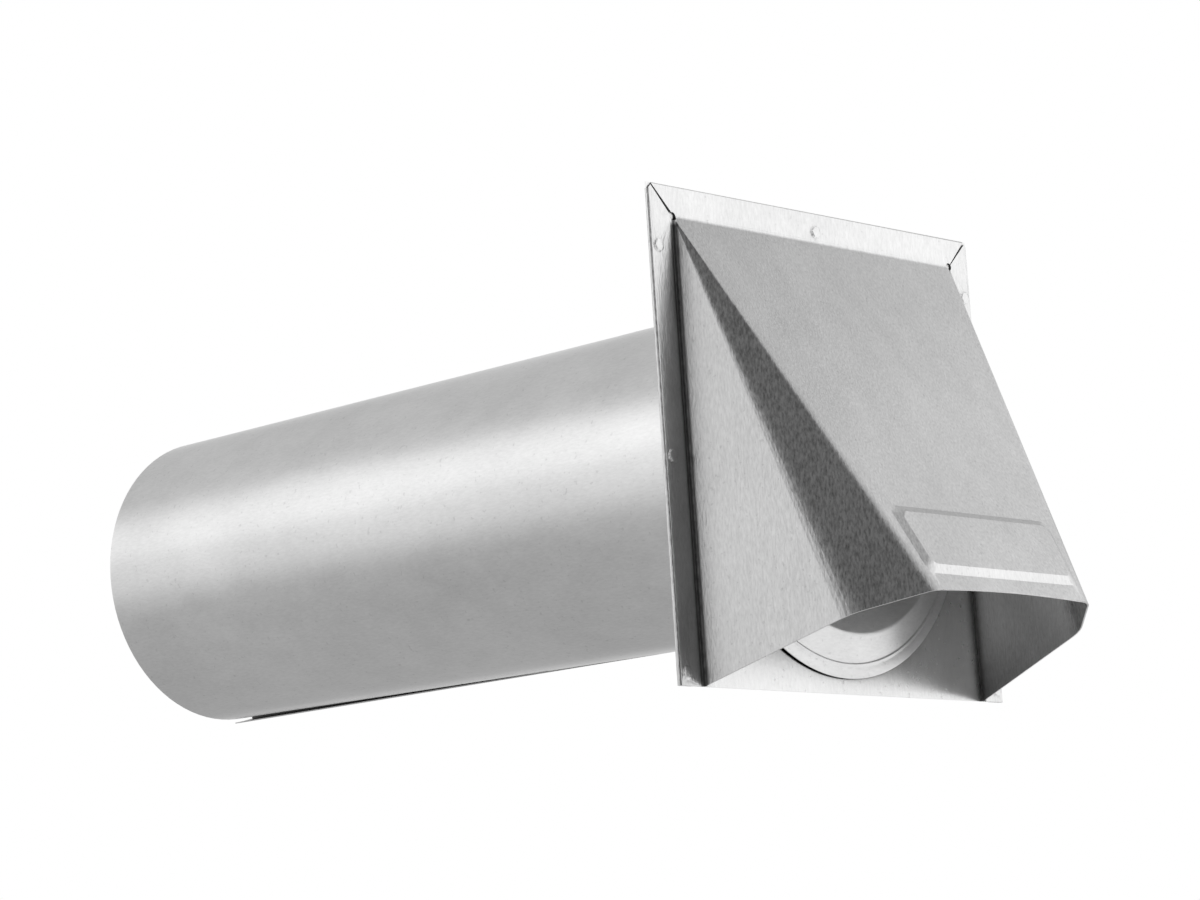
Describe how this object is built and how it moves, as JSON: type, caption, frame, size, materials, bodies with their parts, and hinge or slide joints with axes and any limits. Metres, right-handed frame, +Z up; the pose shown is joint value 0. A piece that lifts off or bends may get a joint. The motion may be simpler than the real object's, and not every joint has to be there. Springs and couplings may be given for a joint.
{
  "type": "dryer vent cap",
  "caption": "Sheet metal wall vent hood with a square back plate, a long round tailpipe and a hinged gravity flap over the pipe's mouth.",
  "frame": {"origin": "on the pipe's axis, in the plane of the wall that the folded edges of the plate lie against", "axes": "+X to the right seen from outside, +Y into the wall along the pipe, +Z up"},
  "size_m": [0.1524, 0.3473, 0.1484],
  "materials": {
    "hood_sheet": "satin mill finish with a fine short grain",
    "plate_sheet": "satin mill finish",
    "pipe_sheet": "satin mill finish, rolled lengthwise, light scuffs",
    "flap_sheet": "satin mill finish",
    "wire": "drawn wire"
  },
  "bodies": {
    "cap": {"hood": "hood_sheet", "back_plate": "plate_sheet", "pipe": "pipe_sheet", "hinge_wire": "wire"},
    "flap": {"flap": "flap_sheet"}
  },
  "joints": [
    {"name": "flap_hinge", "type": "hinge", "parent": "cap", "child": "flap", "pos_m": [0, -0.00342, 0.0547], "axis": [-1, 0, 0], "range_deg": [0, 20.5]}
  ]
}
